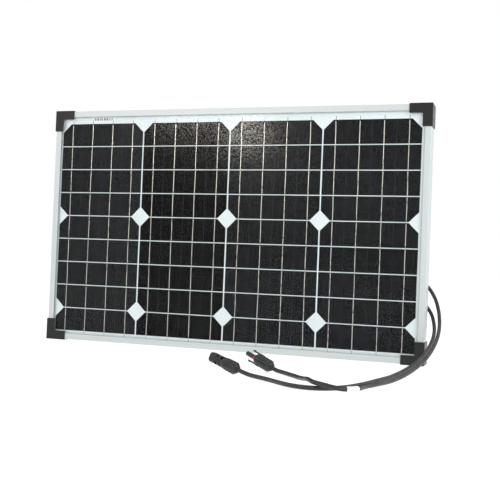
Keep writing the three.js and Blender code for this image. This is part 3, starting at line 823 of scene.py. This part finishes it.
def make_nut(name, matrix, node):
    """A ribbed grip nut."""
    return simple(
        name, shifted(turned(NUT_PROFILE, 120, ribs=20), matrix), "connector", slot="connector_plastic",
        replaces=[node],
    )


def make_socket():
    """A barrel with two windows on each side, and four flats between them."""
    profile = [
        (8, 2.6), (8, 6.0), (20.3, 6.0), (20.3, 7.4), (20.8, 7.8), (23.6, 7.85), (24.2, 7.5), (25.0, 7.3),
        (46.5, 7.3), (47.3, 7.65), (49.3, 7.7), (49.8, 7.5), (50, 7.1), (50, 5.3), (49.4, 4.8), (32, 4.8), (32, 2.6),
    ]
    steps = []
    for quarter in range(4):
        spin = Matrix.Rotation(math.radians(90 * quarter), 4, "X")
        for x in (25.8, 34.3):
            window = block(x, x + 4.5, 4.6, 9.0, -2.3, 2.3)
            steps.append(("DIFFERENCE", shifted(window, SOCKET @ spin)))
        spin = Matrix.Rotation(math.radians(90 * quarter + 45), 4, "X")
        flat = block(27.5, 51, 6.5, 9.0, -6, 6)
        steps.append(("DIFFERENCE", shifted(flat, SOCKET @ spin)))
    mesh = shaped(shifted(turned(profile, 72), SOCKET), *steps)
    return made_piece("socket_body", mesh, "connector", 0.18, slot="connector_plastic", replaces=["socket_housing"])


def make_plug():
    """A collar with a pocket under each latch arm, and a ringed pin housing."""
    profile = [
        (8, 2.2), (8, 6.0), (20.3, 6.0), (20.3, 7.3), (20.8, 7.6), (28.2, 7.6), (30.8, 5.7), (31, 5.5), (31, 3.3),
        (36, 3.3), (36.3, 3.05), (37, 3.05), (37.3, 3.3), (43, 3.3), (43.3, 3.05), (44, 3.05), (44.3, 3.3),
        (49.4, 3.2), (50, 2.8), (50, 2.2),
    ]
    steps = []
    for side in (-1, 1):
        for start, end, deep, half in ((20.2, 24, 6.35, 9), (24, 31.5, 5.2, 2.6)):
            low, high = sorted((side * deep, side * 10))
            steps.append(("DIFFERENCE", shifted(block(start, end, low, high, -half, half), PLUG)))
    mesh = shaped(shifted(turned(profile, 72), PLUG), *steps)
    return made_piece("plug_body", mesh, "connector", 0.18, slot="connector_plastic", replaces=["plug_housing"])


def make_arm(side, name, body):
    """A latch arm with a barb at its tip."""
    outline = [
        (21, 6.6), (24.2, 6.6), (25.5, 6.2), (39, 6.25), (41.9, 6.9), (42.1, 7.3), (41.4, 7.9), (39.6, 9.0),
        (38.6, 9.1), (37.8, 8.3), (26.5, 8.5), (24.6, 8.8), (21.2, 8.7),
    ]
    shape = prism([(x, side * y) for x, y in outline], -1.8, 1.8, level)
    return simple(
        name, shifted(shape, PLUG), "connector", 0.25, 3, body=body, slot="connector_plastic",
        replaces=[f"plug_{body.replace('latch', 'latch_arm')}"],
    )


def make_ring():
    profile = [(31.6, 3.35), (31.6, 4.1), (32.0, 4.5), (32.7, 4.65), (33.4, 4.5), (33.8, 4.1), (33.8, 3.35)]
    ring = shifted(turned(profile, 48), PLUG)
    return simple("plug_red_ring", ring, "red", slot="seal_red", replaces=["plug_seal_ring"])


def make_boot(name, matrix):
    """A short boot where a lead enters its nut."""
    profile = [(-1.6, 2.85), (-1.4, 3.4), (0.2, 4.4), (3.0, 4.6), (3.0, 2.85)]
    return simple(name, shifted(turned(profile, 48), matrix), "rubber", slot="gasket_rubber")


# The marker sleeve is shrunk onto the negative lead where it turns back, this far along it.
SLEEVE_FROM, SLEEVE_LENGTH = 811.5, 19


def make_sleeve():
    along = walk(negative_line)
    line = [at(negative_line, along, SLEEVE_FROM + SLEEVE_LENGTH * k / 15) for k in range(16)]
    radii = [3.0, 3.5, *[3.55 + 0.05 * math.sin(k * 1.3) for k in range(12)], 3.5, 3.0]
    return simple(
        "marker_sleeve", sweep(line, radii), "marker", slot="marker_white", replaces=["lead_marker_sleeve"],
    )


socket_pieces = [make_nut("socket_grip_nut", SOCKET, "socket_nut"), make_socket(), "socket_contact"]
plug_pieces = [
    make_nut("plug_grip_nut", PLUG, "plug_nut"), make_plug(), make_arm(-1, "latch_arm_left", "latch_left"),
    make_arm(1, "latch_arm_right", "latch_right"), "plug_pin", make_ring(),
]
socket_pieces.append(make_boot("socket_boot", SOCKET))
plug_pieces += [make_boot("plug_boot", PLUG), make_sleeve()]

# ---- junction box ----
HINGE_Y, HINGE_Z = 8.5, 375.0
BOX_LOW, BOX_HIGH, BOX_HALF, BOX_WALL = 284.0, 372.0, 50.0, 2.0
BASE_FRONT, RIM = -7.8, 9.5
LID_FRONT, LID_BACK = 10.0, 12.5
TERMINAL_PITCH, TERMINAL_Z = 28, 322
GLAND_Y, GLAND_Z = 2, 262
DIODE_Y, DIODE_Z = 1.2, 340


def bar(radius, x0, x1):
    """A round bar on the lid's hinge axis."""
    return prism(circle(radius, HINGE_Y, HINGE_Z), x0, x1, endwise)


def spout(radius, z0, z1, x):
    """A round bar on a gland's axis."""
    return prism(circle(radius, x, GLAND_Y), z0, z1, level)


def make_base():
    """An open tray with two gland spouts, two hinge knuckles, and ribs outside."""
    half = BOX_HALF - BOX_WALL
    inside = rounded(-half, half, BOX_LOW + BOX_WALL, BOX_HIGH - BOX_WALL, 3)
    steps = [("DIFFERENCE", prism(inside, BASE_FRONT + 1.6, LID_FRONT + 2, upright))]
    for x in (-TERMINAL_PITCH, 0, TERMINAL_PITCH):
        steps.append(("UNION", block(x - 5, x + 5, -6.7, -3.5, TERMINAL_Z, TERMINAL_Z + 30)))
    for side in (-1, 1):
        x = side * TERMINAL_PITCH
        steps.append(("UNION", spout(5.8, GLAND_Z + 6, BOX_LOW + 1, x)))
        steps.append(("DIFFERENCE", spout(3.2, GLAND_Z - 2, BOX_LOW + 3, x)))
        steps.append(("DIFFERENCE", spout(4.8, GLAND_Z - 2, GLAND_Z + 13.5, x)))
        knuckle = side * 30 - 3
        steps.append(("UNION", bar(3, knuckle, knuckle + 6)))
        steps.append(("UNION", block(knuckle, knuckle + 6, 5.5, RIM, BOX_HIGH - 1, HINGE_Z)))
        steps.append(("DIFFERENCE", bar(1.8, knuckle - 1, knuckle + 7)))
        low, high = sorted((side * (BOX_HALF - 0.5), side * (BOX_HALF + 0.9)))
        for k in range(7):
            z = 296 + 10.5 * k
            steps.append(("UNION", block(low, high, -7.6, 6.6, z - 0.8, z + 0.8)))
    for k in range(9):
        x = -16 + 4 * k
        steps.append(("UNION", block(x - 0.7, x + 0.7, -7.6, 6.6, BOX_LOW - 0.9, BOX_LOW + 0.5)))
    steps.append(("DIFFERENCE", block(-34, 34, BASE_FRONT - 1.2, -5, 357, 363)))  # the slot for the straps
    mesh = shaped(prism(rounded(-BOX_HALF, BOX_HALF, BOX_LOW, BOX_HIGH, 5), BASE_FRONT, RIM, upright), *steps)
    made_piece("box_base", mesh, "box", 0.3, slot="box_plastic", replaces=["junction_box_base"])


def raised(half, z0, z1, radius, y0, y1, steps=6):
    """A round-cornered plate on the lid, from y0 to y1 behind its back."""
    return prism(rounded(-half, half, z0, z1, radius, steps), LID_BACK + y0, LID_BACK + y1, upright)


def make_lid():
    """A shallow cover with a raised panel, grip ribs, polarity signs, a thumb tab and its hinge bar."""
    side, low, high = BOX_HALF + 1.5, BOX_LOW - 2.5, BOX_HIGH - 0.5
    skirt = rounded(-side + 1, side - 1, low + 2, high + 12, 4)
    steps = [
        ("DIFFERENCE", prism(skirt, 7, LID_FRONT, upright)),
        ("DIFFERENCE", block(-60, 60, 7, 13, high, high + 20)),
        ("UNION", block(-26, 26, LID_FRONT, LID_BACK, high - 1, HINGE_Z + 0.5)),
        ("UNION", bar(2.2, -26, 26)),
        ("UNION", bar(1.5, -33, 33)),
        ("UNION", raised(9, low - 2, low + 3, 1.5, LID_FRONT - LID_BACK, 0)),
        ("UNION", raised(42, low + 10, high - 9, 4, -0.5, 0.9)),
        ("DIFFERENCE", raised(39.5, low + 12.5, high - 11.5, 3, 0.1, 2)),
    ]
    for k in range(5):
        z = low + 20 + 5 * k
        steps.append(("UNION", raised(16, z - 0.8, z + 0.8, 0.7, -0.3, 0.7, 3)))
    sign_x, sign_z, arm, thick = 38, BOX_LOW + 2, 3.2, 0.8
    sign_back, sign_top = LID_BACK - 0.5, LID_BACK + 0.6
    for x in (-sign_x, sign_x):
        steps.append(("UNION", block(x - arm, x + arm, sign_back, sign_top, sign_z - thick, sign_z + thick)))
    upstroke = block(-sign_x - thick, -sign_x + thick, sign_back, sign_top, sign_z - arm, sign_z + arm)
    steps.append(("UNION", upstroke))
    mesh = shaped(prism(rounded(-side, side, low, high + 9, 5), 8.2, LID_BACK, upright), *steps)
    made_piece(
        "box_lid", mesh, "box", 0.3, body="junction_box_lid", slot="box_plastic", replaces=["junction_box_lid"],
    )


def make_bead(chance):
    """Squeezed-out silicone round the foot of the box."""
    ring = []
    foot = rounded(-BOX_HALF - 0.6, BOX_HALF + 0.6, BOX_LOW - 0.6, BOX_HIGH + 0.6, 5.4, 8)
    for (x, z), (x2, z2) in zip(foot, foot[1:] + foot[:1]):
        parts = max(1, round(math.hypot(x2 - x, z2 - z) / 3))
        ring += [
            Vector((x + (x2 - x) * k / parts, BASE_FRONT - 0.25, z + (z2 - z) * k / parts)) for k in range(parts)
        ]
    radii = [0.85 + 0.08 * math.sin(0.37 * i) + chance.uniform(-0.06, 0.06) for i in range(len(ring))]
    simple("silicone_bead", sweep(ring, radii, 12, closed=True), "silicone", slot="edge_silicone")


GLAND_PROFILE = [
    (0.0, 3.2), (0.0, 4.4), (0.4, 4.9), (2.6, 6.1), (4.4, 6.7), (4.6, 7.0), (5.0, 7.6, 1), (5.8, 8.0, 1),
    (16.6, 8.0, 1), (17.4, 7.6, 1), (17.9, 7.0), (18.0, 6.15), (5.6, 6.15), (5.6, 3.2),
]
HEX_HALF = 6.93  # from the gland nut's axis to each of its six faces


def make_gland(gland, x):
    """A gland nut with its rubber lip, and the lead's core inside the box, bared at its end."""
    place = Matrix.Translation((x, GLAND_Y, GLAND_Z)) @ Matrix.Rotation(math.radians(-90), 4, "Y")
    simple(
        f"gland_{gland}", shifted(turned(GLAND_PROFILE, 72, six_sided=HEX_HALF), place), "box", 0.2,
        slot="box_plastic", replaces=[f"gland_nut_{gland}"],
    )
    neck = [(-2.4, 2.85), (-2.0, 3.5), (1.0, 4.1), (4.0, 4.2), (4.0, 2.85)]
    simple(f"gland_lip_{gland}", shifted(turned(neck, 48), place), "rubber", slot="gasket_rubber")
    insulation = [(28.3, 0.01), (28.3, 2.0), (50.0, 2.0), (50.0, 0.01)]
    simple(
        f"core_{gland}", shifted(turned(insulation, 32), place), "jacket", slot="lead_jacket",
        replaces=[f"lead_core_{gland}"],
    )
    strands = [(50.1, 0.01), (50.1, 1.2), (62.0, 1.25), (64.3, 1.1), (64.3, 0.01)]
    simple(f"strands_{gland}", shifted(turned(strands, 24), place), "brass", slot="terminal_brass")


def make_diode(diode, x):
    """A bypass diode along X, with its pale band and its two wires."""
    place = Matrix.Translation((x, DIODE_Y, DIODE_Z))
    can = [(-4.7, 0.01), (-4.7, 2.3), (-4.4, 2.65), (4.4, 2.65), (4.7, 2.3), (4.7, 0.01)]
    band = [(2.4, 2.6), (2.4, 2.72), (3.6, 2.72), (3.6, 2.6)]
    wires = [(-10, 0.01), (-10, 0.55), (10, 0.55), (10, 0.01)]
    simple(
        f"diode_{diode}", shifted(turned(can, 40), place), "diode", slot="diode_plastic",
        replaces=[f"bypass_diode_{diode}"],
    )
    simple(f"diode_band_{diode}", shifted(turned(band, 40), place), "label", slot="label_film")
    simple(f"diode_wires_{diode}", shifted(turned(wires, 16), place), "tin", slot="contact_tin")


make_base()
make_lid()
make_bead(chance)
make_gland("positive", -TERMINAL_PITCH)
make_gland("negative", TERMINAL_PITCH)
make_diode("left", -TERMINAL_PITCH / 2)
make_diode("right", TERMINAL_PITCH / 2)


# ---- floor, light and surroundings ----
def make_floor():
    """A pale floor, bright enough of itself to meet the white surroundings without an edge."""
    reach = 30
    corners = [(-reach, -reach, 0), (reach, -reach, 0), (reach, reach, 0), (-reach, reach, 0)]
    mesh = bpy.data.meshes.new("floor")
    mesh.from_pydata(corners, [], [(0, 1, 2, 3)])
    floor = bpy.data.objects.new("floor", mesh)
    bpy.context.scene.collection.objects.link(floor)
    floor.location.z = -0.0002
    look = Look("floor", (0.3, 0.3, 0.3), 0.8, specular=0.0)
    look.shader.inputs["Emission Color"].default_value = (1, 1, 1, 1)
    look.shader.inputs["Emission Strength"].default_value = 0.86
    mesh.materials.append(look.material)


def make_world():
    """White surroundings, a little darker on the side that the glass faces, which it reflects."""
    world = bpy.data.worlds.new("studio")
    bpy.context.scene.world = world
    world.use_nodes = True
    tree = world.node_tree
    apart = tree.nodes.new("ShaderNodeSeparateXYZ")
    tree.links.new(tree.nodes.new("ShaderNodeTexCoord").outputs["Generated"], apart.inputs[0])
    fade = tree.nodes.new("ShaderNodeMapRange")
    tree.links.new(apart.outputs["Y"], fade.inputs["Value"])
    for key, value in (("From Min", -0.35), ("From Max", 0.2), ("To Min", 0.62), ("To Max", 1.0)):
        fade.inputs[key].default_value = value
    background = tree.nodes["Background"]
    background.inputs["Color"].default_value = (1, 1, 1, 1)
    tree.links.new(fade.outputs["Result"], background.inputs["Strength"])
    bpy.context.scene.view_settings.view_transform = "Standard"


def softbox(name, where, target, size, power, color=(1, 1, 1)):
    """A rectangular light at where, turned to target, with its size in metres and its power in watts."""
    data = bpy.data.lights.new(name, "AREA")
    data.shape = "RECTANGLE"
    data.size, data.size_y = size
    data.energy = power
    data.color = color
    light = bpy.data.objects.new(name, data)
    light.location = where
    light.rotation_euler = (Vector(target) - Vector(where)).to_track_quat("-Z", "Y").to_euler()
    bpy.context.scene.collection.objects.link(light)


make_floor()
make_world()
WARM = (1, 0.95, 0.84)
softbox("key", (2.0, -1.3, 1.1), (0.1, 0, 0.2), (2.2, 2.0), 36)
# The reflection near the top of the glass: a small bright core, and a wider glow to its left.
softbox("glare", (-0.668, -2.0, 0.703), (0.028, 0, 0.366), (0.09, 0.04), 3.7, WARM)
softbox("glow", (-0.95, -2.0, 0.775), (-0.09, 0, 0.395), (0.24, 0.04), 2.4, WARM)
softbox("fill", (-1.9, -1.6, 1.5), (0, 0, 0.2), (1.0, 1.0), 5)
